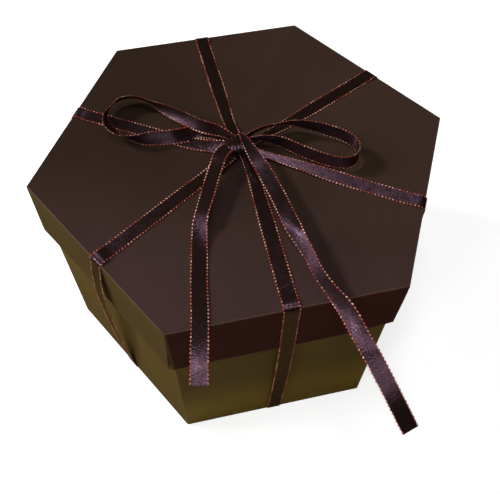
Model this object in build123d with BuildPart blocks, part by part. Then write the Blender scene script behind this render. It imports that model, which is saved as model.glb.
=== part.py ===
# Hexagonal explosion box, closed and tied with a ribbon.
# Lengths are in millimetres. The origin is on the table under the middle of the box, and Z is up.
# A loose lid with six flaps holds three nested layers of hinged walls upright. Each layer is one
# creased hexagon of card, so its walls fall outwards and lie flat once the lid has been lifted off.
import os
from math import atan2, cos, pi, radians, sin, tan

from build123d import *

os.makedirs("parts", exist_ok=True)

# The hexagon that every layer shares, with one face to the front
sides = 6
half_turn = pi / sides
first_face = -90
face_names = ("front", "right_front", "right_back", "back", "left_back", "left_front")

# Outer layer: its walls are tucked inwards above a crease that the lid hides
outer_side = 132.0
tuck_height = 119.5
tuck_inset = 12.0

# Lid
lid_room = 4.0
lid_side = outer_side + lid_room
lid_depth = 43.5
lid_splay = 1.0
lid_slit = 0.3
lid_play = 0.3
box_height = 161.5

# Card of the lid and the layers
card = 1.0
corner_gap = 0.3
crease_gap = 0.2
layer_seat = 0.3
pad_edge = 6.0

# Middle and inner layers, each a step in from the layer outside it
layer_step = 10.0
middle_side = outer_side - layer_step
middle_height = 124.0
inner_side = middle_side - layer_step
inner_height = 104.0

# Photo mats glued inside the outer and middle walls
mat = 0.5
mat_edge = 9.0
mat_round = 5.0

# Small box with its own lid in the middle
centre_side = 46.0
centre_height = 66.0
centre_card = 1.2
centre_lid_depth = 20.0
centre_lid_play = 0.5

# Ribbon
ribbon_width = 10.0
ribbon_thick = 0.4
ribbon_seat = 0.1
ribbon_cut = 0.2
leg_spans = 6
leg_bow_shares = (0.012, 0.012, 0.012, 0.012, 0.012, 0.03)
spoke_shift_shares = (0.01, -0.058, -0.06, 0.032, 0.0, 0.048)
foot_shift_shares = (-0.002, -0.058, -0.06, 0.032, 0.0, -0.003)

# Knot
hub_share = 0.072
knot_width_share = 0.11
knot_length_share = 0.103
knot_height_share = 0.07
knot_shoulder = 3.5
knot_gap = 0.3

# Bow and tails: each row is a point on the ribbon's middle line, as shares of the lid's side
# along X, Y and up from the lid's top, and then the ribbon's roll about that line in degrees.
left_loop_shares = (
    (-0.058, 0.057, 0.064, 90),
    (-0.097, 0.084, 0.071, 96),
    (-0.157, 0.130, 0.070, 106),
    (-0.225, 0.208, 0.061, 111),
    (-0.304, 0.296, 0.053, 96),
    (-0.368, 0.357, 0.050, 72),
    (-0.421, 0.403, 0.050, 58),
    (-0.478, 0.423, 0.051, 57),
    (-0.533, 0.416, 0.051, 58),
    (-0.570, 0.379, 0.049, 74),
    (-0.587, 0.335, 0.048, 92),
    (-0.597, 0.287, 0.046, 122),
    (-0.585, 0.232, 0.044, 141),
    (-0.548, 0.184, 0.043, 134),
    (-0.476, 0.140, 0.043, 102),
    (-0.418, 0.129, 0.044, 86),
    (-0.351, 0.121, 0.045, 71),
    (-0.295, 0.115, 0.045, 69),
    (-0.237, 0.109, 0.045, 72),
    (-0.175, 0.090, 0.046, 80),
    (-0.112, 0.054, 0.049, 86),
    (-0.058, 0.020, 0.052, 90),
)
right_loop_shares = (
    (0.058, 0.056, 0.064, 94),
    (0.111, 0.063, 0.067, 112),
    (0.192, 0.068, 0.065, 122),
    (0.255, 0.063, 0.062, 114),
    (0.317, 0.040, 0.061, 102),
    (0.390, -0.003, 0.060, 90),
    (0.475, -0.069, 0.057, 86),
    (0.510, -0.122, 0.055, 88),
    (0.513, -0.172, 0.054, 92),
    (0.491, -0.207, 0.052, 95),
    (0.455, -0.221, 0.051, 100),
    (0.404, -0.214, 0.051, 96),
    (0.334, -0.176, 0.050, 98),
    (0.253, -0.102, 0.050, 97),
    (0.189, -0.038, 0.051, 90),
    (0.135, -0.006, 0.054, 82),
    (0.093, 0.007, 0.055, 84),
    (0.058, 0.015, 0.055, 88),
)
left_tail_shares = (
    (-0.061, -0.038, 0.066, 2),
    (-0.084, -0.050, 0.070, 6),
    (-0.110, -0.072, 0.069, 9),
    (-0.140, -0.115, 0.062, 15),
    (-0.176, -0.188, 0.054, 15),
    (-0.212, -0.265, 0.046, 18),
    (-0.252, -0.354, 0.039, 21),
    (-0.269, -0.396, 0.026, 18),
    (-0.281, -0.436, 0.016, 13),
    (-0.290, -0.485, 0.010, 7),
    (-0.301, -0.549, 0.008, 0),
    (-0.326, -0.676, 0.007, 0),
    (-0.346, -0.806, 0.007, 0),
    (-0.358, -0.875, 0.005, 0),
    (-0.371, -0.938, -0.002, 0),
    (-0.385, -1.012, -0.017, 0),
    (-0.399, -1.085, -0.037, 0),
)
right_tail_shares = (
    (0.026, -0.060, 0.068, 0),
    (0.031, -0.085, 0.082, -4),
    (0.039, -0.133, 0.087, -6),
    (0.055, -0.199, 0.079, -2),
    (0.079, -0.336, 0.070, 8),
    (0.090, -0.438, 0.071, 19),
    (0.103, -0.525, 0.070, 38),
    (0.119, -0.600, 0.062, 52),
    (0.135, -0.669, 0.054, 61),
    (0.148, -0.738, 0.046, 66),
    (0.176, -0.828, 0.037, 64),
    (0.210, -0.921, 0.026, 36),
    (0.238, -1.054, 0.007, 8),
    (0.252, -1.110, -0.007, 8),
    (0.291, -1.256, -0.062, 6),
    (0.334, -1.377, -0.139, 6),
)


def across(side):
    return side * cos(half_turn)


def face_angle(face):
    return radians(first_face) + face * 2 * half_turn


def ring_plane(face, height):
    """A level plane whose X runs out through the middle of a face."""
    angle = face_angle(face)
    return Plane(origin=(0, 0, height), x_dir=(cos(angle), sin(angle), 0), z_dir=(0, 0, 1))


def wall_outline(outer, thick, trim):
    """A wall seen from above, mitred to meet its neighbours with a small trim at each corner."""
    inner = outer - thick
    near = inner * tan(half_turn) - trim
    far = outer * tan(half_turn) - trim
    return ((inner, -near), (outer, -far), (outer, far), (inner, near))


def save(piece, name):
    piece.label = name
    export_step(piece, f"parts/{name}.step")


# Heights that follow from the card, the mats and the ribbon under the box
base_rise = ribbon_thick + ribbon_seat
middle_rise = base_rise + card + mat + layer_seat
inner_rise = middle_rise + card + mat + layer_seat
centre_rise = inner_rise + card
wall_top = box_height - card - lid_play
skirt_low = box_height - lid_depth
corner_trim = corner_gap / 2 / cos(half_turn)

# Lid: a flat hexagon with six flaps that splay a little, open at the corners
lid_across = across(lid_side)
low_across = lid_across + lid_splay
flap_half = lid_side / 2 - lid_slit / 2
flap_inner_half = flap_half - card * tan(half_turn)
with BuildPart() as lid:
    with BuildSketch(Plane.XY.offset(box_height - card)):
        RegularPolygon(lid_side, sides)
    extrude(amount=card)
    for face in range(sides):
        for height, outer in ((box_height - card, lid_across), (skirt_low, low_across)):
            with BuildSketch(ring_plane(face, height)):
                with BuildLine():
                    Polyline(
                        (outer - card, -flap_inner_half),
                        (outer, -flap_half),
                        (outer, flap_half),
                        (outer - card, flap_inner_half),
                        close=True,
                    )
                make_face()
        loft(ruled=True)
save(lid.part, "lid")


def straight_wall(name, face, side, rise, height):
    """A plain card wall that stands on the crease of its layer."""
    with BuildPart() as wall:
        with BuildSketch(ring_plane(face, rise)):
            with BuildLine():
                Polyline(*wall_outline(across(side), card, corner_trim), close=True)
            make_face()
        extrude(amount=height)
    save(wall.part, name)


def tucked_wall(name, face, side, rise, crease, top, inset):
    """A card wall whose top band leans in above a level crease, so that the lid slips over it."""
    outer = across(side)
    with BuildPart() as wall:
        with BuildSketch(ring_plane(face, rise)):
            with BuildLine():
                Polyline(*wall_outline(outer, card, corner_trim), close=True)
            make_face()
        extrude(amount=crease - rise)
        for height, line in ((crease, outer), (top, outer - inset)):
            with BuildSketch(ring_plane(face, height)):
                with BuildLine():
                    Polyline(*wall_outline(line, card, corner_trim), close=True)
                make_face()
        loft(ruled=True)
    save(wall.part, name)


def photo_mat(name, face, side, rise, height):
    """A rounded sheet glued to the inside of a wall."""
    inner = across(side) - card
    width = 2 * inner * tan(half_turn) - 2 * mat_edge
    angle = face_angle(face)
    middle = rise + height / 2
    plane = Plane(
        origin=(inner * cos(angle), inner * sin(angle), middle),
        x_dir=(-sin(angle), cos(angle), 0),
        z_dir=(-cos(angle), -sin(angle), 0),
    )
    with BuildPart() as sheet:
        with BuildSketch(plane):
            RectangleRounded(width, height - 2 * mat_edge, mat_round)
        extrude(amount=mat)
    save(sheet.part, name)


def layer_base(name, side, low, rise):
    """The hexagon between the creases of a layer, glued to the layer below by a smaller pad."""
    radius = side - (card + crease_gap) / cos(half_turn)
    with BuildPart() as base:
        with BuildSketch(Plane.XY.offset(rise)):
            RegularPolygon(radius, sides)
        extrude(amount=card)
        if low < rise:
            with BuildSketch(Plane.XY.offset(low)):
                RegularPolygon(radius - pad_edge, sides)
            extrude(amount=rise - low)
    save(base.part, name)


# The three layers
layer_base("base_plate", outer_side, base_rise, base_rise)
layer_base("middle_base", middle_side, base_rise + card, middle_rise)
layer_base("inner_base", inner_side, middle_rise + card, inner_rise)
for face, face_name in enumerate(face_names):
    tucked_wall(f"outer_wall_{face_name}", face, outer_side, base_rise, tuck_height, wall_top, tuck_inset)
    straight_wall(f"middle_wall_{face_name}", face, middle_side, middle_rise, middle_height)
    straight_wall(f"inner_wall_{face_name}", face, inner_side, inner_rise, inner_height)
    photo_mat(f"outer_mat_{face_name}", face, outer_side, base_rise, tuck_height - base_rise)
    photo_mat(f"middle_mat_{face_name}", face, middle_side, middle_rise, middle_height)

# Centre box: a small hexagonal tray with a cap
with BuildPart() as centre_box:
    with BuildSketch(Plane.XY.offset(centre_rise)):
        RegularPolygon(centre_side, sides)
    extrude(amount=centre_height)
    with BuildSketch(Plane.XY.offset(centre_rise + centre_card)):
        RegularPolygon(centre_side - centre_card / cos(half_turn), sides)
    extrude(amount=centre_height - centre_card, mode=Mode.SUBTRACT)
save(centre_box.part, "centre_box")

cap_top = centre_rise + centre_height + lid_play + centre_card
cap_inner = centre_side + centre_lid_play / cos(half_turn)
with BuildPart() as centre_box_lid:
    with BuildSketch(Plane.XY.offset(cap_top - centre_lid_depth)):
        RegularPolygon(cap_inner + centre_card / cos(half_turn), sides)
    extrude(amount=centre_lid_depth)
    with BuildSketch(Plane.XY.offset(cap_top - centre_lid_depth)):
        RegularPolygon(cap_inner, sides)
    extrude(amount=centre_lid_depth - centre_card, mode=Mode.SUBTRACT)
save(centre_box_lid.part, "centre_box_lid")

# Ribbon under the base: three crossed lengths, each between the feet of two opposite legs
under_reach = across(outer_side) - ribbon_seat
with BuildPart() as ribbon_under:
    for face in range(sides // 2):
        near = foot_shift_shares[face] * lid_side
        far = -foot_shift_shares[face + sides // 2] * lid_side
        with BuildSketch(ring_plane(face, 0)):
            with BuildLine():
                Polyline(
                    (under_reach, near - ribbon_width / 2),
                    (under_reach, near + ribbon_width / 2),
                    (-under_reach, far + ribbon_width / 2),
                    (-under_reach, far - ribbon_width / 2),
                    close=True,
                )
            make_face()
        extrude(amount=ribbon_thick)
save(ribbon_under.part, "ribbon_under")


def slant(face, height):
    """How far aside the ribbon hangs on a face: its foot isn't quite below the lid's edge."""
    drop = (box_height + ribbon_seat + ribbon_thick - height) / box_height
    head, foot = spoke_shift_shares[face], foot_shift_shares[face]
    return (head + (foot - head) * drop) * lid_side


def ribbon_spoke(name, face):
    """A flat length from the knot to the lid's edge, and on down its flap."""
    top = box_height + ribbon_seat
    shift = spoke_shift_shares[face] * lid_side
    reach = lid_across + ribbon_seat + ribbon_thick
    lean = atan2(shift, reach)
    start = hub_share * lid_side + knot_gap
    side_x = -ribbon_width / 2 * sin(lean)
    side_y = ribbon_width / 2 * cos(lean)
    start_x = start * cos(lean)
    start_y = start * sin(lean)
    with BuildPart() as spoke:
        with BuildSketch(ring_plane(face, top)):
            with BuildLine():
                Polyline(
                    (start_x + side_x, start_y + side_y),
                    (start_x - side_x, start_y - side_y),
                    (reach, shift - ribbon_width / 2),
                    (reach, shift + ribbon_width / 2),
                    close=True,
                )
            make_face()
        extrude(amount=ribbon_thick)
        for height, outer in ((top + ribbon_thick, lid_across), (skirt_low, low_across)):
            with BuildSketch(ring_plane(face, height)):
                with Locations((outer + ribbon_seat + ribbon_thick / 2, slant(face, height))):
                    Rectangle(ribbon_thick, ribbon_width)
        loft(ruled=True)
    save(spoke.part, name)


def ribbon_leg(name, face, bow):
    """The slack length from the flap's lower edge to the foot of the wall."""
    head = low_across + ribbon_seat
    foot = across(outer_side) + ribbon_seat
    high = skirt_low - ribbon_cut
    low = base_rise + ribbon_seat / 2
    with BuildPart() as leg:
        for start in range(leg_spans):
            for place in (start, start + 1):
                share = place / leg_spans
                height = high + (low - high) * share
                inside = head + (foot - head) * share + bow * sin(pi * share)
                with BuildSketch(ring_plane(face, height)):
                    with Locations((inside + ribbon_thick / 2, slant(face, height))):
                        Rectangle(ribbon_thick, ribbon_width)
            loft(ruled=True)
    save(leg.part, name)


for face, face_name in enumerate(face_names):
    ribbon_spoke(f"ribbon_spoke_{face_name}", face)
    ribbon_leg(f"ribbon_leg_{face_name}", face, leg_bow_shares[face] * skirt_low)

# Knot: the crossing of the three lengths, and the band that is wrapped over it
knot_low = box_height + ribbon_seat
knot_height = ribbon_thick + knot_height_share * lid_side
with BuildPart() as knot:
    with BuildSketch(Plane.XY.offset(knot_low)):
        RegularPolygon(hub_share * lid_side, sides)
    extrude(amount=sides / 2 * ribbon_thick)
    with BuildSketch(Plane.XZ) as arch:
        with Locations((0, knot_low + knot_height / 2)):
            Rectangle(knot_width_share * lid_side, knot_height)
        fillet(arch.vertices().group_by(Axis.Z)[-1], knot_shoulder)
    extrude(amount=knot_length_share * lid_side / 2, both=True)
save(knot.part, "ribbon_knot")


def ribbon_strip(name, shares):
    """A length of ribbon that follows a route and rolls about it."""
    points = [
        Vector(x * lid_side, y * lid_side, box_height + up * lid_side) for x, y, up, roll in shares
    ]
    last = len(points) - 1
    with BuildPart() as strip:
        for start in range(last):
            for place in (start, start + 1):
                along = (points[min(place + 1, last)] - points[max(place - 1, 0)]).normalized()
                level = Vector(0, 0, 1).cross(along).normalized()
                wide = level.rotate(Axis((0, 0, 0), tuple(along)), shares[place][-1])
                with BuildSketch(Plane(origin=points[place], x_dir=wide, z_dir=along)):
                    Rectangle(ribbon_width, ribbon_thick)
            loft(ruled=True)
    save(strip.part, name)


ribbon_strip("bow_loop_left", left_loop_shares)
ribbon_strip("bow_loop_right", right_loop_shares)
ribbon_strip("bow_tail_left", left_tail_shares)
ribbon_strip("bow_tail_right", right_tail_shares)
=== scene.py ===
# Hexagonal explosion box tied with a satin ribbon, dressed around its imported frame.
from math import atan2, cos, pi, radians, sin

import bpy
import numpy as np
from mathutils import Matrix, Vector


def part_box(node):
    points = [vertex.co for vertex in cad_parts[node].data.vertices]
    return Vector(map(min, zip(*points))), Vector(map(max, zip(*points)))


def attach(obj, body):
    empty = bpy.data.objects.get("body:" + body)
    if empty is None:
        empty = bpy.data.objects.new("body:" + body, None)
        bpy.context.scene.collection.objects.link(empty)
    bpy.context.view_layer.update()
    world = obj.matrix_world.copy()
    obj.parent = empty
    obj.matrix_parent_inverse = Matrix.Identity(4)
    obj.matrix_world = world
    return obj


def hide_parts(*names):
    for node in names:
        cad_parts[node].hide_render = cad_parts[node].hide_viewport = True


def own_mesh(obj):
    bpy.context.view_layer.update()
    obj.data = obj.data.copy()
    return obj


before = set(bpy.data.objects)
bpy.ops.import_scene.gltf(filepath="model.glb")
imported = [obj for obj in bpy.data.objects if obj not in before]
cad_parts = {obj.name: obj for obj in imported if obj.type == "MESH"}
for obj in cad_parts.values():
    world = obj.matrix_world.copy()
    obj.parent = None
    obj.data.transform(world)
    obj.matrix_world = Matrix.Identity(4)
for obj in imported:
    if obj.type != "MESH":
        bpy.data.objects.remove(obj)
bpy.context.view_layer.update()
bpy.ops.object.select_all(action="DESELECT")

mm = 0.001
weldGap = 0.01 * mm  # points nearer than this are one
hair = 0.001 * mm  # a margin for rounding
faceNames = ("front", "right_front", "right_back", "back", "left_back", "left_front")


def faceAxes(face):
    angle = radians(60 * face - 90)
    outwards = Vector((cos(angle), sin(angle), 0))
    alongFace = Vector((-sin(angle), cos(angle), 0))  # to the right, seen from outside
    return outwards, alongFace


def srgb(red, green, blue):
    # a colour as a painter reads it, 0 to 255, for a socket that wants linear light
    linear = []
    for value in (red, green, blue):
        share = value / 255
        linear.append(share / 12.92 if share <= 0.04045 else ((share + 0.055) / 1.055) ** 2.4)
    return (*linear, 1)


# camera
cameraView = {
    "place": (-58.636 * mm, -258.521 * mm, 445.390 * mm),
    "right": (0.97756359, -0.21044397, -0.00909729),
    "up": (0.17874085, 0.80589494, 0.56443339),
    "back": (-0.11145015, -0.55339559, 0.82542849),
    "focalPixels": 598.6255,
    "centrePixel": (232.883, 241.913),
    "imagePixels": (500, 494),
    "sensor": 36,
    "nearest": 20 * mm,
}


def setCamera():
    wide, tall = cameraView["imagePixels"]
    data = bpy.data.cameras.new("boxCamera")
    camera = bpy.data.objects.new("boxCamera", data)
    bpy.context.collection.objects.link(camera)
    data.sensor_width = cameraView["sensor"]
    data.lens = cameraView["focalPixels"] / wide * data.sensor_width
    data.shift_x = (wide / 2 - cameraView["centrePixel"][0]) / wide
    data.shift_y = (cameraView["centrePixel"][1] - tall / 2) / wide
    data.clip_start = cameraView["nearest"]
    turned = Matrix((cameraView["right"], cameraView["up"], cameraView["back"])).transposed()
    camera.matrix_world = Matrix.Translation(cameraView["place"]) @ turned.to_4x4()
    bpy.context.scene.camera = camera


# node helpers
def addNode(tree, kind, settings=None, sockets=None):
    made = tree.nodes.new(kind)
    for key, value in (settings or {}).items():
        setattr(made, key, value)
    for key, value in (sockets or {}).items():
        if isinstance(value, bpy.types.NodeSocket):
            tree.links.new(value, made.inputs[key])
        else:
            made.inputs[key].default_value = value
    return made


def sums(tree, operation, first, second=0.0, third=0.0):
    made = addNode(tree, "ShaderNodeMath", {"operation": operation}, {0: first, 1: second, 2: third})
    return made.outputs[0]


def ramp(tree, value, low, high, outLow=0.0, outHigh=1.0):
    made = addNode(
        tree, "ShaderNodeMapRange", {"interpolation_type": "SMOOTHSTEP"},
        {"Value": value, "From Min": low, "From Max": high, "To Min": outLow, "To Max": outHigh},
    )
    return made.outputs[0]


def blendColour(tree, share, first, second, kind="MIX"):
    made = addNode(tree, "ShaderNodeMix", {"data_type": "RGBA", "blend_type": kind})
    for number, value in ((0, share), (6, first), (7, second)):
        if isinstance(value, bpy.types.NodeSocket):
            tree.links.new(value, made.inputs[number])
        else:
            made.inputs[number].default_value = value
    return made.outputs[2]


def noise(tree, spread, scale, detail=2.0, roughness=0.5):
    made = addNode(tree, "ShaderNodeTexNoise", None,
                   {"Vector": spread, "Scale": scale, "Detail": detail, "Roughness": roughness})
    return made.outputs["Fac"]


def objectSpot(tree):
    return addNode(tree, "ShaderNodeTexCoord").outputs["Object"]


def weaveSpot(tree):
    # the ribbon's own map: metres along it and metres across it
    return addNode(tree, "ShaderNodeUVMap", {"uv_map": "weave"}).outputs[0]


def apart(tree, vector):
    return addNode(tree, "ShaderNodeSeparateXYZ", None, {0: vector}).outputs


def strongest(tree, *masks):
    # the strongest of several masks, each with its share
    result = 0.0
    for mask, share in masks:
        result = sums(tree, "MAXIMUM", result, sums(tree, "MULTIPLY", mask, share))
    return result


def startGroup(name, inputs, outputs):
    tree = bpy.data.node_groups.new(name, "ShaderNodeTree")
    for label, kind, value in inputs:
        socket = tree.interface.new_socket(label, in_out="INPUT", socket_type=kind)
        socket.default_value = value
    for label, kind in outputs:
        tree.interface.new_socket(label, in_out="OUTPUT", socket_type=kind)
    return tree, tree.nodes.new("NodeGroupInput").outputs, tree.nodes.new("NodeGroupOutput")


paperLook = {
    "mottleScale": 26.0, "mottleDrift": 0.18,
    "grainScale": 900.0, "grainShare": 0.34,
    "fibreScale": (300.0, 1700.0, 900.0), "fibreTurn": (0.2, 0.1, 0.6), "fibreShare": 0.22,
    "plainShare": 0.72, "fibreHeight": 0.2 * mm, "smoother": -0.05, "rougher": 0.07,
}


def paperGrain():
    # fibres, a faint mottle and rubbed edges for every card and paper piece
    tree, given, result = startGroup(
        "paperGrain",
        (("Colour", "NodeSocketColor", srgb(120, 100, 80)), ("Shade", "NodeSocketColor", srgb(90, 70, 60)),
         ("Worn", "NodeSocketColor", srgb(160, 140, 110)), ("Wear", "NodeSocketFloat", 0.0),
         ("Drift", "NodeSocketFloat", 0.0), ("Gloss", "NodeSocketFloat", 0.55)),
        (("Colour", "NodeSocketColor"), ("Roughness", "NodeSocketFloat"), ("Height", "NodeSocketFloat")),
    )
    look = paperLook
    spot = objectSpot(tree)
    mottle = noise(tree, spot, look["mottleScale"], 4.0, 0.6)
    grain = noise(tree, spot, look["grainScale"], 3.0, 0.7)
    stretched = addNode(tree, "ShaderNodeMapping", None,
                        {"Vector": spot, "Rotation": look["fibreTurn"], "Scale": look["fibreScale"]})
    fibre = noise(tree, stretched.outputs[0], 1.0)
    change = ramp(tree, mottle, 0.3, 0.7, -look["mottleDrift"], look["mottleDrift"])
    drift = sums(tree, "ADD", given["Drift"], change)
    drift = sums(tree, "MINIMUM", sums(tree, "MAXIMUM", drift, 0.0), 1.0)
    colour = blendColour(tree, drift, given["Colour"], given["Shade"])
    speckle = sums(tree, "ADD", sums(tree, "MULTIPLY", grain, look["grainShare"]),
                   sums(tree, "MULTIPLY", fibre, look["fibreShare"]))
    speckle = sums(tree, "ADD", speckle, look["plainShare"])
    grey = addNode(tree, "ShaderNodeCombineColor", None,
                   {"Red": speckle, "Green": speckle, "Blue": speckle}).outputs[0]
    colour = blendColour(tree, 1.0, colour, grey, "MULTIPLY")
    rubbed = sums(tree, "MULTIPLY", given["Wear"], ramp(tree, grain, 0.25, 0.6, 0.45, 1.0))
    colour = blendColour(tree, rubbed, colour, given["Worn"])
    change = ramp(tree, grain, 0.3, 0.7, look["smoother"], look["rougher"])
    rough = sums(tree, "ADD", given["Gloss"], change)
    height = sums(tree, "ADD", sums(tree, "MULTIPLY", grain, 0.6), sums(tree, "MULTIPLY", fibre, 0.4))
    tree.links.new(colour, result.inputs["Colour"])
    tree.links.new(rough, result.inputs["Roughness"])
    tree.links.new(height, result.inputs["Height"])
    return tree


def hexagonEdges():
    # how near a point of a hexagonal shell lies to its rim, corners and hem, and on which side
    tree, given, result = startGroup(
        "hexagonEdges",
        (("Reach", "NodeSocketFloat", 0.1), ("Top", "NodeSocketFloat", 0.1), ("Low", "NodeSocketFloat", 0.0),
         ("Fold", "NodeSocketFloat", 0.001)),
        (("Rim", "NodeSocketFloat"), ("Corner", "NodeSocketFloat"), ("Hem", "NodeSocketFloat"),
         ("Level", "NodeSocketFloat"), ("Left", "NodeSocketFloat"), ("Front", "NodeSocketFloat")),
    )
    parts = apart(tree, objectSpot(tree))
    onFaceShare = 0.985  # of the reach, past which a point is on the face itself
    sidewards = sums(tree, "MULTIPLY", parts[0], cos(pi / 6))
    backwards = sums(tree, "MULTIPLY", parts[1], cos(pi / 3))
    far = sums(tree, "ABSOLUTE", parts[1])
    right = sums(tree, "ABSOLUTE", sums(tree, "ADD", sidewards, backwards))
    left = sums(tree, "ABSOLUTE", sums(tree, "SUBTRACT", sidewards, backwards))
    most = sums(tree, "MAXIMUM", far, sums(tree, "MAXIMUM", right, left))
    least = sums(tree, "MINIMUM", far, sums(tree, "MINIMUM", right, left))
    whole = sums(tree, "ADD", far, sums(tree, "ADD", right, left))
    second = sums(tree, "SUBTRACT", sums(tree, "SUBTRACT", whole, most), least)
    outer = ramp(tree, sums(tree, "SUBTRACT", given["Reach"], most), given["Fold"], 0.0)
    upper = ramp(tree, sums(tree, "SUBTRACT", given["Top"], parts[2]), given["Fold"], 0.0)
    corner = ramp(tree, sums(tree, "SUBTRACT", most, second), given["Fold"], 0.0)
    hem = ramp(tree, sums(tree, "SUBTRACT", parts[2], given["Low"]), given["Fold"], 0.0)
    below = sums(tree, "SUBTRACT", 1.0, upper)
    frontLeft = sums(tree, "SUBTRACT", sums(tree, "MULTIPLY", sidewards, -1.0), backwards)
    frontwards = sums(tree, "MULTIPLY", parts[1], -1.0)
    onLeft = ramp(tree, sums(tree, "DIVIDE", frontLeft, given["Reach"]), onFaceShare, 1.0)
    onFront = ramp(tree, sums(tree, "DIVIDE", frontwards, given["Reach"]), onFaceShare, 1.0)
    tree.links.new(sums(tree, "MULTIPLY", outer, upper), result.inputs["Rim"])
    tree.links.new(sums(tree, "MULTIPLY", corner, below), result.inputs["Corner"])
    tree.links.new(hem, result.inputs["Hem"])
    tree.links.new(upper, result.inputs["Level"])
    tree.links.new(onLeft, result.inputs["Left"])
    tree.links.new(onFront, result.inputs["Front"])
    return tree


def newMaterial(name):
    made = bpy.data.materials.new(name)
    made.use_nodes = True
    made.node_tree.nodes.clear()
    return made, made.node_tree


def finishMaterial(tree, shader):
    end = tree.nodes.new("ShaderNodeOutputMaterial")
    tree.links.new(shader.outputs[0], end.inputs["Surface"])


def useGroup(tree, group, sockets):
    return addNode(tree, "ShaderNodeGroup", {"node_tree": group}, sockets).outputs


groups = {"paper": paperGrain(), "hexagon": hexagonEdges()}

cardColours = {
    "lid": {
        # these tones hold painted light and shade: the top darker at the left and lighter at the right, a
        # painted sheen, the front flap painted darker red and the left front flap painted lighter olive
        "top": (44, 31, 24), "right": (59, 44, 35), "mauveSheen": (60, 43, 41), "front": (62, 23, 20),
        "left": (78, 61, 28), "back": (56, 42, 32), "dim": (225, 222, 220), "worn": (122, 96, 82),
    },
    "wall": {
        # the front wall tones hold painted light at its foot and painted shade under the lid
        "colour": (86, 67, 25), "shade": (98, 78, 30), "frontLitLow": (123, 99, 30),
        "frontShadedHigh": (83, 64, 24), "worn": (150, 124, 76),
    },
    "middle": {"colour": (104, 80, 56), "shade": (88, 66, 48), "worn": (160, 134, 100)},
    "inner": {"colour": (92, 60, 50), "shade": (76, 50, 44), "worn": (150, 118, 98)},
    "centre": {"colour": (120, 92, 58), "shade": (98, 74, 46), "worn": (170, 142, 104)},
    "mat": {"colour": (214, 196, 166), "shade": (200, 180, 148), "worn": (236, 226, 206)},
}
cardForms = {  # from the middle out to a face, and the heights of the top and of the lower edge
    "lid": {"reach": 117.8 * mm, "top": 161.5 * mm, "low": 118.0 * mm},
    "wall": {"reach": 114.32 * mm, "top": 160.2 * mm, "low": 0.5 * mm},
    "middle": {"reach": 105.66 * mm, "top": 126.3 * mm, "low": 2.3 * mm},
    "inner": {"reach": 97.0 * mm, "top": 108.1 * mm, "low": 4.1 * mm},
    "centre": {"reach": 41.5 * mm, "top": 72.6 * mm, "low": 5.1 * mm},
}
cardWear = {
    "fold": 0.9 * mm, "lidRim": 0.55, "lidHem": 0.4, "lidCorner": 0.3, "corner": 0.45, "hem": 0.3,
    "mat": 0.1,
}
cardFinish = {"drift": 0.3, "matDrift": 0.35, "lidGloss": 0.74, "gloss": 0.75, "matGloss": 0.6}
lidPaintedLight = {  # painted light and sheen on the lid's top: it is painted lighter and redder to the right, and a painted sheen towards the front
    "leftEnd": -80 * mm, "rightEnd": 120 * mm, "slant": (-0.3, -0.95), "frontEnd": 120 * mm,
}
wallPaintedShade = {"lowShare": 0.1, "highShare": 0.48}  # painted shade: the front wall is painted darker between these heights, towards the lid


def edgesOf(tree, name):
    form = cardForms[name]
    return useGroup(tree, groups["hexagon"], {"Reach": form["reach"], "Top": form["top"],
                                              "Low": form["low"], "Fold": cardWear["fold"]})


def cardShader(tree, paper, bumpStrength=0.25, shine=0.12):
    # a matt sheet whose fibres stand up a little
    bump = addNode(tree, "ShaderNodeBump", None,
                   {"Strength": bumpStrength, "Distance": paperLook["fibreHeight"],
                    "Height": paper["Height"]})
    shader = addNode(tree, "ShaderNodeBsdfPrincipled", None,
                     {"Base Color": paper["Colour"], "Roughness": paper["Roughness"],
                      "Specular IOR Level": shine, "Normal": bump.outputs[0]})
    finishMaterial(tree, shader)


def lidMaterial():
    made, tree = newMaterial("lidCard")
    tones, drift, wear = cardColours["lid"], lidPaintedLight, cardWear
    edges = edgesOf(tree, "lid")
    parts = apart(tree, objectSpot(tree))
    slant = sums(tree, "ADD", sums(tree, "MULTIPLY", parts[0], drift["slant"][0]),
                 sums(tree, "MULTIPLY", parts[1], drift["slant"][1]))
    # painted sheen: the top turns a pale purple-brown towards the front
    paintedSheenShare = ramp(tree, slant, 0.0, drift["frontEnd"])
    # painted light: the top is painted darker at the left and lighter and redder to the right
    paintedLightShare = ramp(tree, parts[0], drift["leftEnd"], drift["rightEnd"])
    top = blendColour(tree, paintedLightShare, srgb(*tones["top"]), srgb(*tones["right"]))
    top = blendColour(tree, paintedSheenShare, top, srgb(*tones["mauveSheen"]))
    # painted shade on the front flap, dark red, and painted light on the left front flap, light olive; the
    # other flaps keep the back tone
    flaps = blendColour(tree, edges["Front"], srgb(*tones["back"]), srgb(*tones["front"]))
    flaps = blendColour(tree, edges["Left"], flaps, srgb(*tones["left"]))
    colour = blendColour(tree, edges["Level"], flaps, top)
    shade = blendColour(tree, 1.0, colour, srgb(*tones["dim"]), "MULTIPLY")
    worn = strongest(tree, (edges["Rim"], wear["lidRim"]), (edges["Hem"], wear["lidHem"]),
                     (edges["Corner"], wear["lidCorner"]))
    paper = useGroup(tree, groups["paper"],
                     {"Colour": colour, "Shade": shade, "Worn": srgb(*tones["worn"]), "Wear": worn,
                      "Drift": cardFinish["drift"], "Gloss": cardFinish["lidGloss"]})
    cardShader(tree, paper)
    return made


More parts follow.
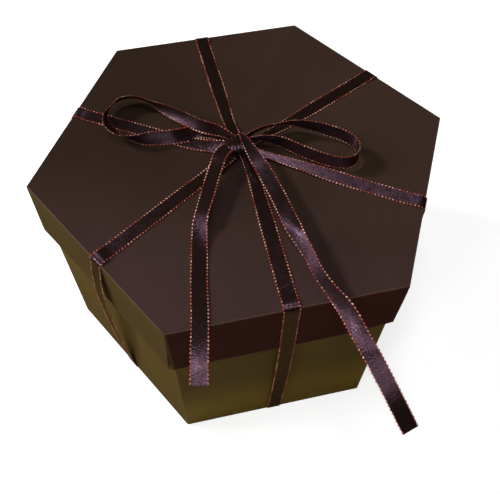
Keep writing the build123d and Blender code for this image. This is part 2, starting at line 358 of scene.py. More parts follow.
def cardMaterial(name):
    made, tree = newMaterial(name + "Card")
    tones, top = cardColours[name], cardForms[name]["top"]
    edges = edgesOf(tree, name)
    height = apart(tree, objectSpot(tree))[2]
    # painted shade under the lid and painted light at the foot of the front wall
    paintedShadeShare = ramp(tree, height, wallPaintedShade["lowShare"] * top, wallPaintedShade["highShare"] * top)
    frontLitLow = tones.get("frontLitLow", tones["colour"])
    frontShadedHigh = tones.get("frontShadedHigh", tones["colour"])
    front = blendColour(tree, paintedShadeShare, srgb(*frontLitLow), srgb(*frontShadedHigh))
    colour = blendColour(tree, edges["Front"], srgb(*tones["colour"]), front)
    worn = strongest(tree, (edges["Corner"], cardWear["corner"]), (edges["Hem"], cardWear["hem"]))
    paper = useGroup(tree, groups["paper"],
                     {"Colour": colour, "Shade": srgb(*tones["shade"]), "Worn": srgb(*tones["worn"]),
                      "Wear": worn, "Drift": cardFinish["drift"], "Gloss": cardFinish["gloss"]})
    cardShader(tree, paper)
    return made


def matMaterial():
    made, tree = newMaterial("matPaper")
    tones = cardColours["mat"]
    paper = useGroup(tree, groups["paper"],
                     {"Colour": srgb(*tones["colour"]), "Shade": srgb(*tones["shade"]),
                      "Worn": srgb(*tones["worn"]), "Wear": cardWear["mat"],
                      "Drift": cardFinish["matDrift"], "Gloss": cardFinish["matGloss"]})
    cardShader(tree, paper, bumpStrength=0.3, shine=0.3)
    return made


ribbonStrip = {
    "width": 10 * mm, "thick": 0.24 * mm, "stitch": 2.2 * mm, "cells": 8, "smoothAngle": 50,
    "beadLong": 0.72 * mm, "beadWide": 0.50 * mm, "beadTall": 0.30 * mm, "beadSlant": 14,
    "beadSegments": 8, "beadRings": 5,
}
satinLook = {
    "colour": (23, 15, 10), "float": (30, 20, 14), "floatScale": (900.0, 5200.0, 1.0),
    "rib": 0.9 * mm, "ribShare": 0.3, "sparkScale": 1000.0, "sparkShare": 9.0,
    "rough": 0.35, "softScale": 240.0, "smoother": -0.05, "rougher": 0.08,
    "bumpStrength": 0.6, "bumpHeight": 0.03 * mm, "ior": 1.8, "shine": 0.68,
    "tint": (1.0, 0.55, 0.82, 1), "stretch": 0.9, "turn": 0.25,
}
threadLook = {
    "copper": (176, 66, 52), "gold": (255, 190, 160), "copperBelow": 0.5, "goldAbove": 1.05,
    "stitchShare": 0.4, "driftScale": 60.0, "rough": 0.42, "metal": 0.4,
}


def satinMaterial():
    # long threads float along the ribbon over fine ribs, so its shine is drawn out across it
    made, tree = newMaterial("ribbonSatin")
    look = satinLook
    spread = weaveSpot(tree)
    ribs = sums(tree, "SINE", sums(tree, "MULTIPLY", apart(tree, spread)[0], 2 * pi / look["rib"]))
    floats = addNode(tree, "ShaderNodeMapping", None, {"Vector": spread, "Scale": look["floatScale"]})
    glint = noise(tree, floats.outputs[0], 1.0)
    soft = noise(tree, spread, look["softScale"])
    spark = noise(tree, spread, look["sparkScale"], 1.0)
    colour = blendColour(tree, ramp(tree, glint, 0.35, 0.7), srgb(*look["colour"]), srgb(*look["float"]))
    rough = sums(tree, "ADD", look["rough"], ramp(tree, soft, 0.3, 0.7, look["smoother"], look["rougher"]))
    height = sums(tree, "ADD", sums(tree, "MULTIPLY", ribs, look["ribShare"]), glint)
    height = sums(tree, "ADD", height, sums(tree, "MULTIPLY", spark, look["sparkShare"]))
    bump = addNode(tree, "ShaderNodeBump", None,
                   {"Strength": look["bumpStrength"], "Distance": look["bumpHeight"], "Height": height})
    shader = addNode(tree, "ShaderNodeBsdfPrincipled", None,
                     {"Base Color": colour, "Roughness": rough, "Normal": bump.outputs[0],
                      "IOR": look["ior"], "Specular IOR Level": look["shine"],
                      "Specular Tint": look["tint"], "Anisotropic": look["stretch"],
                      "Anisotropic Rotation": look["turn"]})
    tangent = addNode(tree, "ShaderNodeTangent", {"direction_type": "UV_MAP", "uv_map": "weave"})
    tree.links.new(tangent.outputs[0], shader.inputs["Tangent"])
    finishMaterial(tree, shader)
    return made


def threadMaterial():
    # each stitch has one tone of its own, from copper red to pale gold
    made, tree = newMaterial("copperThread")
    look = threadLook
    spread = weaveSpot(tree)
    parts = apart(tree, spread)
    number = sums(tree, "FLOOR", sums(tree, "DIVIDE", parts[0], ribbonStrip["stitch"]))
    side = sums(tree, "GREATER_THAN", parts[1], 0.0)
    stitch = addNode(tree, "ShaderNodeCombineXYZ", None, {0: number, 1: side})
    tone = addNode(tree, "ShaderNodeTexWhiteNoise", {"noise_dimensions": "2D"},
                   {"Vector": stitch.outputs[0]}).outputs["Value"]
    drift = noise(tree, spread, look["driftScale"], 1.0)
    tone = sums(tree, "ADD", sums(tree, "MULTIPLY", tone, look["stitchShare"]), drift)
    share = ramp(tree, tone, look["copperBelow"], look["goldAbove"])
    colour = blendColour(tree, share, srgb(*look["copper"]), srgb(*look["gold"]))
    shader = addNode(tree, "ShaderNodeBsdfPrincipled", None,
                     {"Base Color": colour, "Roughness": look["rough"], "Metallic": look["metal"]})
    finishMaterial(tree, shader)
    return made


materials = {
    "lid": lidMaterial(),
    "wall": cardMaterial("wall"),
    "middle": cardMaterial("middle"),
    "inner": cardMaterial("inner"),
    "centre": cardMaterial("centre"),
    "mat": matMaterial(),
    "satin": satinMaterial(),
    "thread": threadMaterial(),
}
print("materials ready")


# mesh helpers
def useOnly(piece):
    bpy.ops.object.select_all(action="DESELECT")
    piece.select_set(True)
    bpy.context.view_layer.objects.active = piece


def applyModifier(piece, kind, **settings):
    useOnly(piece)
    added = piece.modifiers.new(kind.lower(), kind)
    for key, value in settings.items():
        setattr(added, key, value)
    bpy.ops.object.modifier_apply(modifier=added.name)


def settle(piece):
    useOnly(piece)
    bpy.ops.object.transform_apply(location=True, rotation=True, scale=True)


def selectEdges(piece, wanted):
    # selects in object mode the edges whose two ends the test accepts, and goes to edit mode
    useOnly(piece)
    mesh = piece.data
    for group in (mesh.vertices, mesh.edges, mesh.polygons):
        group.foreach_set("select", [False] * len(group))
    for edge in mesh.edges:
        first, second = (mesh.vertices[i] for i in edge.vertices)
        if wanted(first.co, second.co):
            edge.select = first.select = second.select = True
    bpy.ops.object.mode_set(mode="EDIT")
    bpy.ops.mesh.select_mode(type="EDGE")


def place(piece, body, *nodes, slot=None):
    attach(piece, body)
    if nodes:
        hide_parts(*nodes)


# lid
lidShell = {
    "side": 136 * mm, "top": 161.5 * mm, "depth": 43.5 * mm, "card": 0.7 * mm, "splay": 1.0 * mm,
    "columns": 24, "rows": 9, "tab": 12 * mm, "tabGap": 0.15 * mm, "tabSink": 0.7 * mm,
    "tabInside": 0.05 * mm, "tabEase": 4, "foldRound": 0.7 * mm, "foldAngle": 35, "smoothAngle": 40,
    "startShare": 0.0001, "endShare": 0.999,
}
flapShapes = {  # how far each flap's middle and lower corners stand out, in millimetres
    "front": {"middle": 0.5, "left": 0.6, "right": -1.4, "slit": -0.3},
    "right_front": {"middle": 0.6, "left": -1.2, "right": 0.3},
    "right_back": {"middle": 0.4, "left": 0.2, "right": 0.2},
    "back": {"middle": 0.4, "left": 0.2, "right": 0.2},
    "left_back": {"middle": 0.4, "left": 0.2, "right": 0.3},
    "left_front": {"middle": -0.4, "left": 0.3, "right": 0.9},
}


def makeLid():
    shell = lidShell
    reach = shell["side"] * cos(pi / 6)
    bpy.ops.mesh.primitive_circle_add(vertices=6, radius=shell["side"], fill_type="NGON",
                                      location=(0, 0, shell["top"]), rotation=(0, 0, pi / 6))
    lid = bpy.context.object
    lid.name = "lidShell"
    settle(lid)
    bpy.ops.object.mode_set(mode="EDIT")
    bpy.ops.mesh.select_all(action="SELECT")
    bpy.ops.mesh.subdivide(number_cuts=shell["columns"] - 1)
    bpy.ops.object.mode_set(mode="OBJECT")
    step = shell["depth"] / shell["rows"]
    for face in range(6):
        outwards = faceAxes(face)[0]
        selectEdges(lid, lambda a, b: min(a.dot(outwards), b.dot(outwards)) > reach - weldGap
                    and min(a.z, b.z) > shell["top"] - weldGap)
        down = outwards * (shell["splay"] / shell["rows"]) - Vector((0, 0, step))
        for row in range(shell["rows"]):
            bpy.ops.mesh.extrude_edges_move(TRANSFORM_OT_translate={"value": down})
        bpy.ops.object.mode_set(mode="OBJECT")
    makeTabs(lid, reach)
    shapeFlaps(lid, reach)
    useOnly(lid)
    bpy.ops.object.mode_set(mode="EDIT")
    bpy.ops.mesh.select_all(action="SELECT")
    bpy.ops.mesh.normals_make_consistent(inside=False)
    bpy.ops.object.mode_set(mode="OBJECT")
    applyModifier(lid, "BEVEL", width=shell["foldRound"], segments=3, limit_method="ANGLE",
                  angle_limit=radians(shell["foldAngle"]))
    applyModifier(lid, "SOLIDIFY", thickness=shell["card"], offset=-1, use_even_offset=True)
    bpy.ops.object.shade_smooth_by_angle(angle=radians(shell["smoothAngle"]))
    lid.data.materials.append(materials["lid"])
    place(lid, "lid", "lid", slot="lid_card")


def makeTabs(lid, reach):
    # folds a tab from the left end of each flap back behind its neighbour
    shell = lidShell
    for face in range(6):
        outwards, alongFace = faceAxes(face)
        besideOut, besideAlong = faceAxes((face - 1) % 6)

        def onLeftEnd(point):
            return (point.z < shell["top"] - weldGap and point.dot(outwards) > reach + hair
                    and point.dot(alongFace) < -shell["side"] / 2 + weldGap
                    and point.dot(outwards) > point.dot(besideOut) + hair)

        selectEdges(lid, lambda a, b: onLeftEnd(a) and onLeftEnd(b))
        inwards = -besideAlong * shell["tab"] - besideOut * shell["tabGap"]
        bpy.ops.mesh.extrude_edges_move(TRANSFORM_OT_translate={"value": inwards})
        bpy.ops.object.mode_set(mode="OBJECT")


def shapeFlaps(lid, reach):
    # bows each flap, and draws its left end and tab in behind the next flap
    shell = lidShell
    for vertex in lid.data.vertices:
        drop = (shell["top"] - vertex.co.z) / shell["depth"]
        if drop < shell["startShare"]:
            continue
        offsets = [vertex.co.dot(faceAxes(face)[0]) for face in range(6)]
        face = max(range(6), key=lambda index: offsets[index])
        outwards, alongFace = faceAxes(face)
        sideways = vertex.co.dot(alongFace) / (shell["side"] / 2)
        isTab = offsets[face] < reach + shell["splay"] * drop - shell["tabInside"]
        shape = flapShapes[faceNames[face]]
        bow = shape["middle"] * (1 - sideways ** 2)
        bow += shape["left"] * max(0, -sideways) ** 3 + shape["right"] * max(0, sideways) ** 3
        vertex.co += outwards * bow * mm * drop ** 1.5
        if isTab:
            inset = (shell["card"] + shell["tabGap"]) * min(1, drop * shell["tabEase"])
            vertex.co -= outwards * (inset + shell["tabSink"] * drop)
        elif sideways < -shell["endShare"]:
            tuck = (shell["card"] + shell["tabGap"] + shape.get("slit", 0) * mm) / sin(pi / 3)
            vertex.co += alongFace * tuck * drop


# plain card pieces: the solid's own form with rounded arrises
cardArris = {
    "wall": 0.25 * mm, "mat": 0.12 * mm, "base": 0.2 * mm, "centre": 0.3 * mm,
    "flatAngle": 1, "foldAngle": 8, "smoothAngle": 30,
}


def softenCard(node, body, finish, slot, arris):
    useOnly(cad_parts[node])
    bpy.ops.object.duplicate()
    piece = bpy.context.object
    piece.name = node + "_card"
    piece.parent = None
    piece.matrix_world = Matrix.Identity(4)
    for key in list(piece.keys()):
        del piece[key]
    bpy.ops.object.mode_set(mode="EDIT")
    bpy.ops.mesh.select_all(action="SELECT")
    bpy.ops.mesh.remove_doubles(threshold=weldGap)
    bpy.ops.mesh.dissolve_limited(angle_limit=radians(cardArris["flatAngle"]))
    bpy.ops.object.mode_set(mode="OBJECT")
    applyModifier(piece, "BEVEL", width=arris, segments=2, limit_method="ANGLE",
                  angle_limit=radians(cardArris["foldAngle"]))
    bpy.ops.object.shade_smooth_by_angle(angle=radians(cardArris["smoothAngle"]))
    piece.data.materials.clear()
    piece.data.materials.append(materials[finish])
    place(piece, body, node, slot=slot)


def makeCardPieces():
    arris = cardArris
    for layer, finish in (("outer", "wall"), ("middle", "middle"), ("inner", "inner")):
        for face in faceNames:
            body = f"{layer}_{face}"
            softenCard(f"{layer}_wall_{face}", body, finish, f"{finish}_card", arris["wall"])
            if layer != "inner":
                softenCard(f"{layer}_mat_{face}", body, "mat", "mat_paper", arris["mat"])
    softenCard("base_plate", "base", "wall", "wall_card", arris["base"])
    softenCard("middle_base", "base", "middle", "middle_card", arris["base"])
    softenCard("inner_base", "base", "inner", "inner_card", arris["base"])
    softenCard("centre_box", "base", "centre", "centre_card", arris["centre"])
    softenCard("centre_box_lid", "centre_lid", "centre", "centre_card", arris["centre"])


# ribbon
def straightRibbon(name, length):
    # a flat strip along X, with a row of slanted metallic stitches on each edge
    strip = ribbonStrip
    count = max(2, round(length / strip["stitch"]))
    half = strip["width"] / 2 - strip["beadWide"]
    bpy.ops.mesh.primitive_grid_add(x_subdivisions=1, y_subdivisions=strip["cells"], size=1,
                                    location=(strip["stitch"] / 2, 0, 0))
    band = bpy.context.object
    band.scale = (strip["stitch"], half * 2, 1)
    settle(band)
    applyModifier(band, "ARRAY", count=count, relative_offset_displace=(1, 0, 0),
                  use_merge_vertices=True, merge_threshold=weldGap)
    applyModifier(band, "SOLIDIFY", thickness=strip["thick"], offset=0)
    band.data.materials.append(materials["satin"])
    band.data.materials.append(materials["thread"])
    sides = []
    for side in (-1, 1):
        bpy.ops.mesh.primitive_uv_sphere_add(segments=strip["beadSegments"],
                                             ring_count=strip["beadRings"], radius=1,
                                             location=(strip["stitch"] / 2, side * half, 0),
                                             rotation=(0, pi / 2, radians(strip["beadSlant"]) * side))
        bead = bpy.context.object
        bead.scale = (strip["beadTall"], strip["beadWide"], strip["beadLong"])
        settle(bead)
        applyModifier(bead, "ARRAY", count=count, use_relative_offset=False, use_constant_offset=True,
                      constant_offset_displace=(strip["stitch"], 0, 0))
        bead.data.materials.append(materials["satin"])
        bead.data.materials.append(materials["thread"])
        bead.data.polygons.foreach_set("material_index", [1] * len(bead.data.polygons))
        sides.append(bead)
    useOnly(band)
    for bead in sides:
        bead.select_set(True)
    bpy.ops.object.join()
    band.name = name
    bpy.ops.object.shade_smooth_by_angle(angle=radians(strip["smoothAngle"]))
    for layer in list(band.data.uv_layers):
        band.data.uv_layers.remove(layer)
    weave = band.data.uv_layers.new(name="weave")
    stretch = length / (count * strip["stitch"])
    corners = np.array([loop.vertex_index for loop in band.data.loops])
    points = np.array([vertex.co for vertex in band.data.vertices])
    weave.data.foreach_set("uv", (points[corners][:, :2] * (stretch, 1)).ravel())
    return band


def smoothRoute(rows, steps=14):
    # a curve through the rows: place, the unit vector across the ribbon, its width share and its fold
    table = np.array([[*point, *across, share, fold] for point, across, share, fold in rows], float)
    ends = np.vstack([2 * table[0] - table[1], table, 2 * table[-1] - table[-2]])
    gaps = np.maximum(np.linalg.norm(np.diff(ends[:, :3], axis=0), axis=1), hair) ** 0.5
    result = []
    for i in range(1, len(ends) - 2):
        first, second, third, fourth = ends[i - 1:i + 3]
        before, here, after = gaps[i - 1], gaps[i], gaps[i + 1]
        slopeA = ((second - first) / before - (third - first) / (before + here)
                  + (third - second) / here) * here
        slopeB = ((third - second) / here - (fourth - second) / (here + after)
                  + (fourth - third) / after) * here
        for t in np.linspace(0, 1, steps, endpoint=False):
            result.append((2 * t ** 3 - 3 * t ** 2 + 1) * second + (t ** 3 - 2 * t ** 2 + t) * slopeA
                          + (3 * t ** 2 - 2 * t ** 3) * third + (t ** 3 - t ** 2) * slopeB)
    result.append(table[-1])
    return np.array(result)


def unit(vectors):
    return vectors / np.linalg.norm(vectors, axis=1)[:, None]


def bentRibbon(name, rows):
    # lays a straight strip along a route, turned by the vector across it at each place
    line = smoothRoute(rows)
    run = np.concatenate([[0], np.cumsum(np.linalg.norm(np.diff(line[:, :3], axis=0), axis=1))])
    ahead = unit(np.gradient(line[:, :3], run, axis=0))
    across = unit(line[:, 3:6] - ahead * (line[:, 3:6] * ahead).sum(1)[:, None])
    upper = np.cross(ahead, across)
    band = straightRibbon(name, run[-1])
    points = np.array([vertex.co for vertex in band.data.vertices])
    at = np.clip(points[:, 0] / points[:, 0].max() * run[-1], 0, run[-1])

    def along(values):
        return np.stack([np.interp(at, run, values[:, i]) for i in range(values.shape[1])], axis=1)

    share, fold = along(line[:, 6:8]).T
    half = ribbonStrip["width"] / 2
    lift = points[:, 2] + fold * (points[:, 1] / half) ** 2 * half
    placed = along(line[:, :3]) + along(across) * (points[:, 1] * share)[:, None] \
        + along(upper) * lift[:, None]
    band.data.vertices.foreach_set("co", placed.ravel())
    band.data.update()
    useOnly(band)
    return band, run[-1]


def rollRows(points):
    # rows of x, y, height above the table, roll, width share and fold, in millimetres and degrees
    places = [Vector(row[:3]) * mm for row in points]
    rows = []
    for i, row in enumerate(points):
        ahead = (places[min(i + 1, len(places) - 1)] - places[max(i - 1, 0)]).normalized()
        level = Vector((0, 0, 1)).cross(ahead).normalized()
        across = Matrix.Rotation(radians(row[3]), 3, ahead) @ level
        share = row[4] if len(row) > 4 else 1
        fold = row[5] if len(row) > 5 else 0
        rows.append((places[i], across, share, fold))
    return rows


def finishRibbon(piece, long, body, nodes):
    place(piece, body, *nodes, slot="ribbon")
    ribbonLengths[piece.name] = round(long, 4)


ribbonLengths = {}
ribbonShifts = {  # along each face, in millimetres
    "knot": (2.6, -2.0, -2.0, 2.6, 4.9, 1.0), "edge": (1.4, -7.9, -8.2, 4.4, 0.0, 6.5),
    "foot": (-0.3, -7.9, -8.2, 4.4, 0.0, -0.4),
}
spokeRun = {
    "start": 4 * mm, "rise": 3.4 * mm, "above": 0.42 * mm, "near": 25 * mm, "full": 60 * mm,
    "flatRows": (12, 20, 30, 45, 60, 78, 95),  # out from the middle, in millimetres
    "nearWidths": (0.8, 0.45, 0.6, 0.75, 0.9, 0.9),  # drawn together at the knot, as shares of the width
    "landsAt": (30, 80, 30, 30, 40, 30),  # where each length comes down on the lid, in millimetres
    "leans": (0.0, 0.3, 0.0, 0.0, 0.8, 0.0),  # how far it leans to the front on its way down
    "softEdge": ((8, 0.15), (5, 0.75), (2.2, 0.5), (0.4, -0.3)),  # in from the lid's edge, and up
    "hangsFrom": ((1.6, 0.35), (4.0, 0.35)),  # down from the lid's top, and out
    "flapShares": (0.3, 0.65, 1.0),
    "standOff": (0.1, 0.2, 0.2, 0.2, 0.2, 3.0),  # how far each length hangs off its flap, in millimetres
}
legRun = {
    "wallSide": 132 * mm, "slack": 1.2 * mm, "footOut": 0.4 * mm, "footGap": 0.1 * mm, "cut": 0.2 * mm,
    "shares": (0, 0.12, 0.3, 0.5, 0.7, 0.88, 1),
}
underRun = {"inset": 0.2 * mm, "height": 0.3 * mm, "shares": (-1, -0.5, 0, 0.5, 1)}


def asideAt(face, height):
    # the ribbon's shift along a face, which drifts evenly from the lid's edge to the foot
    share = (lidShell["top"] - height) / lidShell["top"]
    edge, foot = ribbonShifts["edge"][face], ribbonShifts["foot"][face]
    return (edge + (foot - edge) * share) * mm


def onTheLid(face, far):
    # the ribbon's shift along a face and its width share, at a distance out from the middle
    run = spokeRun
    reach = lidShell["side"] * cos(pi / 6)
    knot, edge = ribbonShifts["knot"][face], ribbonShifts["edge"][face]
    share = (far - run["near"]) / (reach - run["near"])
    shift = knot + (edge - knot) * share if share > 0 else knot * (0.3 + 0.7 * far / run["near"])
    narrowTo = 0.8 * run["near"]
    spread = min(1, max(0, (far - narrowTo) / (run["full"] - narrowTo)))
    width = run["nearWidths"][face]
    return shift * mm, width + (1 - width) * spread


def makeSpokes():
    run = spokeRun
    top = lidShell["top"] + run["above"]
    reach = lidShell["side"] * cos(pi / 6) + run["above"]
    low = lidShell["top"] - lidShell["depth"]
    for face, name in enumerate(faceNames):
        outwards, alongFace = faceAxes(face)
        backEdge = 1 if alongFace.y > 0 else -1  # a length that leans has its back edge raised
        lands = run["landsAt"][face] * mm
        rows = []
        for far in (run["start"], *(row * mm for row in run["flatRows"])):
            shift, width = onTheLid(face, far)
            lift = run["rise"] * max(0, 1 - (far - run["start"]) / (lands - run["start"]))
            lean = run["leans"][face] * lift / (ribbonStrip["width"] / 2 * width)
            across = alongFace * cos(lean) + Vector((0, 0, backEdge * sin(lean)))
            rows.append((outwards * far + alongFace * shift + Vector((0, 0, top + lift)), across, width, 0))
        for inside, lift in run["softEdge"]:
            far = reach - inside * mm
            shift = onTheLid(face, far)[0]
            spot = outwards * far + alongFace * shift + Vector((0, 0, top + lift * mm))
            rows.append((spot, alongFace, 1, 0))
        for below, out in run["hangsFrom"]:
            height = top - below * mm
            spot = outwards * (reach + out * mm) + alongFace * asideAt(face, height)
            rows.append((spot + Vector((0, 0, height)), alongFace, 1, 0))
        flare = flapShapes[name]["middle"] * mm + lidShell["splay"]
        for share in run["flapShares"]:
            height = top + (low - top) * share
            outward = reach + flare * share ** 1.5 + run["standOff"][face] * mm * sin(share * pi / 2)
            outward += run["hangsFrom"][1][1] * mm * (1 - share)
            spot = outwards * outward + alongFace * asideAt(face, height) + Vector((0, 0, height))
            rows.append((spot, alongFace, 1, 0))
        piece, long = bentRibbon(f"spoke_{name}", rows)
        finishRibbon(piece, long, "ribbon_top", [f"ribbon_spoke_{name}"])


wallReach = legRun["wallSide"] * cos(pi / 6)


def makeLegs():
    run = legRun
    low = lidShell["top"] - lidShell["depth"] - run["cut"]
    for face, name in enumerate(faceNames):
        outwards, alongFace = faceAxes(face)
        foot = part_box(f"ribbon_leg_{name}")[0].z + run["footGap"]
        head = lidShell["side"] * cos(pi / 6) + spokeRun["above"] + lidShell["splay"] \
            + (flapShapes[name]["middle"] + spokeRun["standOff"][face]) * mm
        base = wallReach + run["footOut"]
        rows = []
        for share in run["shares"]:
            out = head + (base - head) * share + run["slack"] * sin(pi * share)
            height = low + (foot - low) * share
            spot = outwards * out + alongFace * asideAt(face, height) + Vector((0, 0, height))
            rows.append((spot, alongFace, 1, 0))
        piece, long = bentRibbon(f"leg_{name}", rows)
        finishRibbon(piece, long, f"outer_{name}", [f"ribbon_leg_{name}"])
        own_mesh(piece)


def makeUnderRibbon():
    run = underRun
    reach = wallReach - run["inset"]
    lengths = []
    parts = []
    for face in range(3):
        outwards, alongFace = faceAxes(face)
        near, far = asideAt(face, 0), -asideAt(face + 3, 0)
        rows = []
        for share in run["shares"]:
            aside = (near + far) / 2 + (near - far) / 2 * share
            spot = outwards * reach * share + alongFace * aside + Vector((0, 0, run["height"]))
            rows.append((spot, alongFace, 1, 0))
        part, long = bentRibbon(f"under_{face}", rows)
        parts.append(part)
        lengths.append(long)
    useOnly(parts[0])
    for part in parts[1:]:
        part.select_set(True)
    bpy.ops.object.join()
    parts[0].name = "underRibbon"
    finishRibbon(parts[0], sum(lengths), "base", ["ribbon_under"])


bowRoutes = {  # x, y and height in millimetres, roll in degrees, then width share and fold
    "bow_loop_left": [
        (-4.0, 2.4, 170.0, 90, 0.55, 0.25), (-8.1, 5.6, 171.6, 92, 0.75, 0.15),
        (-13.2, 10.8, 172.0, 96, 0.95), (-21.3, 17.7, 171.2, 104, 1, -0.3),
        (-30.6, 28.3, 169.8, 108, 1, -0.36), (-41.4, 40.3, 168.7, 92, 1, -0.3),
        (-50.2, 48.5, 168.3, 69, 1, -0.1), (-57.2, 54.9, 168.3, 55), (-65.0, 57.6, 168.5, 52),
        (-72.5, 56.6, 168.4, 54), (-77.3, 52.0, 168.2, 56), (-79.9, 46.8, 168.0, 72),
        (-81.3, 40.5, 167.8, 112), (-80.4, 34.0, 167.5, 136), (-74.7, 25.0, 167.3, 134),
        (-64.8, 19.1, 167.4, 104), (-56.8, 17.7, 167.3, 72), (-47.7, 16.6, 167.2, 60),
        (-40.1, 16.2, 166.8, 54), (-32.3, 17.8, 165.5, 38), (-24.0, 20.0, 164.0, 15),
        (-15.2, 16.5, 163.7, 6, 0.9), (-7.3, 9.0, 164.2, 8, 0.7),
    ],
    "bow_loop_right": [
        (1.9, 2.9, 170.0, 90, 0.55, 0.25), (7.3, 4.9, 170.8, 104, 0.7, 0.1),
        (15.1, 7.4, 170.8, 120, 0.9), (26.1, 9.2, 170.3, 126), (34.7, 8.9, 170.0, 116),
        (43.1, 5.7, 169.8, 102), (53.2, -0.3, 169.6, 89), (64.8, -9.2, 169.3, 86),
        (69.7, -16.5, 169.0, 88), (70.0, -23.0, 168.8, 92), (67.0, -28.2, 168.6, 95),
        (61.9, -30.3, 168.5, 96), (54.9, -29.1, 168.4, 93), (45.8, -23.3, 168.3, 95),
        (34.4, -13.7, 168.3, 97), (25.7, -5.2, 168.4, 90), (18.4, -0.8, 168.8, 76),
        (11.5, 0.8, 169.3, 64, 0.85, 0.1), (3.5, -0.2, 169.6, 70, 0.6, 0.2),
    ],
    "bow_tail_left": [
        (-5.0, -0.4, 166.4, 0, 0.8, 0.1), (-9.4, -3.2, 170.0, 4, 0.95),
        (-14.9, -8.5, 171.2, 8), (-19.0, -15.6, 169.9, 14), (-24.0, -25.4, 168.8, 16),
        (-28.9, -36.1, 167.8, 17), (-34.5, -48.1, 166.8, 23), (-36.8, -53.8, 165.0, 19),
        (-38.0, -59.4, 163.6, 14), (-39.4, -65.9, 162.7, 6), (-41.0, -74.7, 162.3, 0),
        (-44.3, -92.0, 162.3, 0), (-47.1, -109.6, 162.3, 0), (-48.9, -119.2, 162.3, 0),
        (-50.6, -127.8, 162.2, -1), (-52.7, -138.0, 161.3, -2), (-54.7, -147.8, 159.0, -2),
    ],
    "bow_tail_right": [
        (-2.0, 4.7, 165.5, 0, 0.3), (-1.4, 5.4, 170.5, 0, 0.3), (0.3, 2.7, 173.4, -4, 0.35, 0.06),
        (2.2, -7.2, 174.6, -8, 0.7, 0.05), (4.6, -18.1, 174.0, -4, 0.92), (7.2, -27.0, 172.3, 0),
        (10.7, -45.7, 171.2, 5), (11.7, -54.0, 171.6, 5), (12.7, -63.0, 171.4, 6),
        (13.6, -70.0, 171.0, 18), (14.8, -76.0, 170.4, 46), (16.1, -81.7, 169.7, 56),
        (18.3, -91.0, 168.6, 64), (19.7, -100.5, 167.6, 69), (23.5, -112.8, 166.3, 66),
        (28.4, -125.3, 164.7, 36), (32.4, -143.4, 161.9, 4), (34.3, -151.0, 160.6, 8),
        (39.7, -170.8, 153.0, 8), (45.4, -187.2, 142.6, 8),
    ],
}


def makeBow():
    for name, points in bowRoutes.items():
        piece, long = bentRibbon(name.replace("_", ""), rollRows(points))
        finishRibbon(piece, long, "ribbon_top", [name])


knotWrap = {
    "place": (-3.2, -1.0, 166.8), "size": (8.4, 7.2, 5.1), "ridges": 2.1, "deep": 0.11, "boxy": 2.4,
    "sway": 0.5, "swayTurns": 2.0, "swayStart": 1.0, "segments": 96, "rings": 64,
}


def makeKnot():
    # a band wrapped front to back over the crossing, drawn into ridges that run with it
    wrap = knotWrap
    bpy.ops.mesh.primitive_uv_sphere_add(segments=wrap["segments"], ring_count=wrap["rings"], radius=1,
                                         rotation=(0, pi / 2, 0))
    knot = bpy.context.object
    knot.name = "knotCore"
    settle(knot)
    middle = Vector(wrap["place"]) * mm
    half = Vector(wrap["size"]) * mm
    for vertex in knot.data.vertices:
        spot = vertex.co.copy()
        spot /= sum(abs(value) ** wrap["boxy"] for value in spot) ** (1 / wrap["boxy"])
        around = atan2(spot.z, spot.y)
        across = spot.x * half.x + wrap["sway"] * mm * sin(wrap["swayTurns"] * around + wrap["swayStart"])
        ridge = cos(2 * pi * across / (wrap["ridges"] * mm)) * (1 - spot.x ** 4)
        lean = 1 + wrap["deep"] * ridge
        vertex.co = middle + Vector((spot.x * half.x, spot.y * half.y * lean, spot.z * half.z * lean))
    for layer in list(knot.data.uv_layers):
        knot.data.uv_layers.remove(layer)
    weave = knot.data.uv_layers.new(name="weave")
    for loop in knot.data.loops:
        away = knot.data.vertices[loop.vertex_index].co - middle
        weave.data[loop.index].uv = (atan2(away.y, away.z) * half.z, away.x)
    knot.data.materials.append(materials["satin"])
    bpy.ops.object.shade_smooth()
    place(knot, "ribbon_top", "ribbon_knot", slot="ribbon")


# floor and light
lampPlan = {  # where each lamp shines from, and whether the satin mirrors it
    "window": {"from": (-0.704, 0.425, 0.569), "far": 2.6, "size": 0.36, "power": 58.0, "shine": False},
    "windowShine": {"from": (-0.9, 0.2, 0.36), "far": 2.6, "size": 0.36, "power": 15.0, "shine": True},
    "ceiling": {"from": (-0.1, 0.02, 1.0), "far": 2.6, "size": 0.4, "power": 12.0, "shine": True},
    "frontLeft": {"from": (-0.6, -0.45, 0.66), "far": 2.4, "size": 0.4, "power": 8.0, "shine": False},
    "frontTop": {"from": (-0.05, -0.5, 0.85), "far": 2.6, "size": 0.6, "power": 9.0, "shine": True},
    "roomFill": {"from": (0.65, -0.35, 0.65), "far": 1.3, "size": 0.35, "power": 1.8, "shine": False},
}
roomGlow = {"seen": 1.0, "diffuse": 0.06, "mirrored": 0.012}
lampAim = Vector((0, 0, 100 * mm))


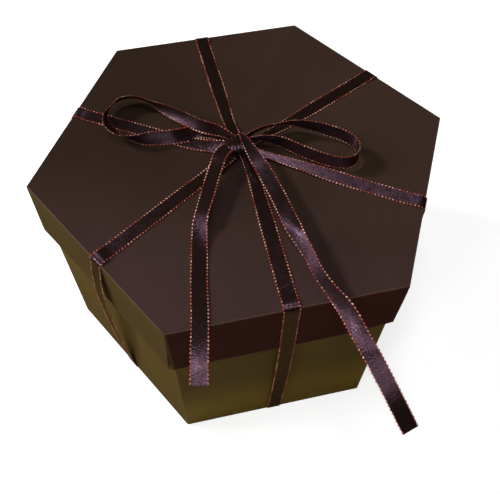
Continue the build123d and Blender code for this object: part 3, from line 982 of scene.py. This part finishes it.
def lightStage():
    scene = bpy.context.scene
    world = bpy.data.worlds.new("studio")
    world.use_nodes = True
    scene.world = world
    tree = world.node_tree
    tree.nodes.clear()
    rays = tree.nodes.new("ShaderNodeLightPath").outputs
    glows = {}
    for name, strength in roomGlow.items():
        glow = addNode(tree, "ShaderNodeBackground", None, {"Color": (1, 1, 1, 1), "Strength": strength})
        glows[name] = glow.outputs[0]
    room = addNode(tree, "ShaderNodeMixShader", None,
                   {0: rays["Is Glossy Ray"], 1: glows["diffuse"], 2: glows["mirrored"]})
    either = addNode(tree, "ShaderNodeMixShader", None,
                     {0: rays["Is Camera Ray"], 1: room.outputs[0], 2: glows["seen"]})
    end = tree.nodes.new("ShaderNodeOutputWorld")
    tree.links.new(either.outputs[0], end.inputs[0])
    for name, plan in lampPlan.items():
        data = bpy.data.lights.new(name, "AREA")
        data.shape = "SQUARE"
        data.size = plan["size"]
        data.energy = plan["power"]
        lamp = bpy.data.objects.new(name, data)
        bpy.context.collection.objects.link(lamp)
        direction = Vector(plan["from"]).normalized()
        lamp.location = direction * plan["far"] + lampAim
        lamp.visible_glossy = plan["shine"]
        lamp.rotation_euler = direction.to_track_quat("Z", "Y").to_euler()
    scene.view_settings.view_transform = "Standard"


tableLook = {
    "size": 8, "seen": (0.6, 0.6, 0.6, 1), "bounced": (0.66, 0.65, 0.62, 1),
    "mirrored": (0.15, 0.115, 0.035, 1), "glow": (0.7, 1.0), "glowFrom": (0.6, 2.0),
}


def makeFloor():
    look = tableLook
    bpy.ops.mesh.primitive_plane_add(size=look["size"], location=(0, 0, 0))
    floor = bpy.context.object
    floor.name = "tableTop"
    made, tree = newMaterial("paleTable")
    rays = tree.nodes.new("ShaderNodeLightPath").outputs
    away = addNode(tree, "ShaderNodeVectorMath", {"operation": "LENGTH"}, {0: objectSpot(tree)})
    # the table fades to plain white far from the box
    strength = ramp(tree, away.outputs["Value"], *look["glowFrom"], *look["glow"])
    glow = addNode(tree, "ShaderNodeEmission", None, {"Color": (1, 1, 1, 1), "Strength": strength})
    coats = {}
    for name in ("seen", "bounced", "mirrored"):
        coats[name] = addNode(tree, "ShaderNodeBsdfDiffuse", None, {"Color": look[name]}).outputs[0]
    bright = addNode(tree, "ShaderNodeAddShader", None, {0: coats["seen"], 1: glow.outputs[0]})
    unseen = addNode(tree, "ShaderNodeMixShader", None,
                     {0: rays["Is Glossy Ray"], 1: coats["bounced"], 2: coats["mirrored"]})
    chosen = addNode(tree, "ShaderNodeMixShader", None,
                     {0: rays["Is Camera Ray"], 1: unseen.outputs[0], 2: bright.outputs[0]})
    finishMaterial(tree, chosen)
    floor.data.materials.append(made)


setCamera()
print("camera set")
makeLid()
print("lid folded")
makeCardPieces()
print("card pieces cut")
makeSpokes()
makeLegs()
makeUnderRibbon()
print("ribbon laid")
makeBow()
makeKnot()
print("bow tied")
makeFloor()
lightStage()
print("ribbon lengths", ribbonLengths)

bpy.context.view_layer.update()
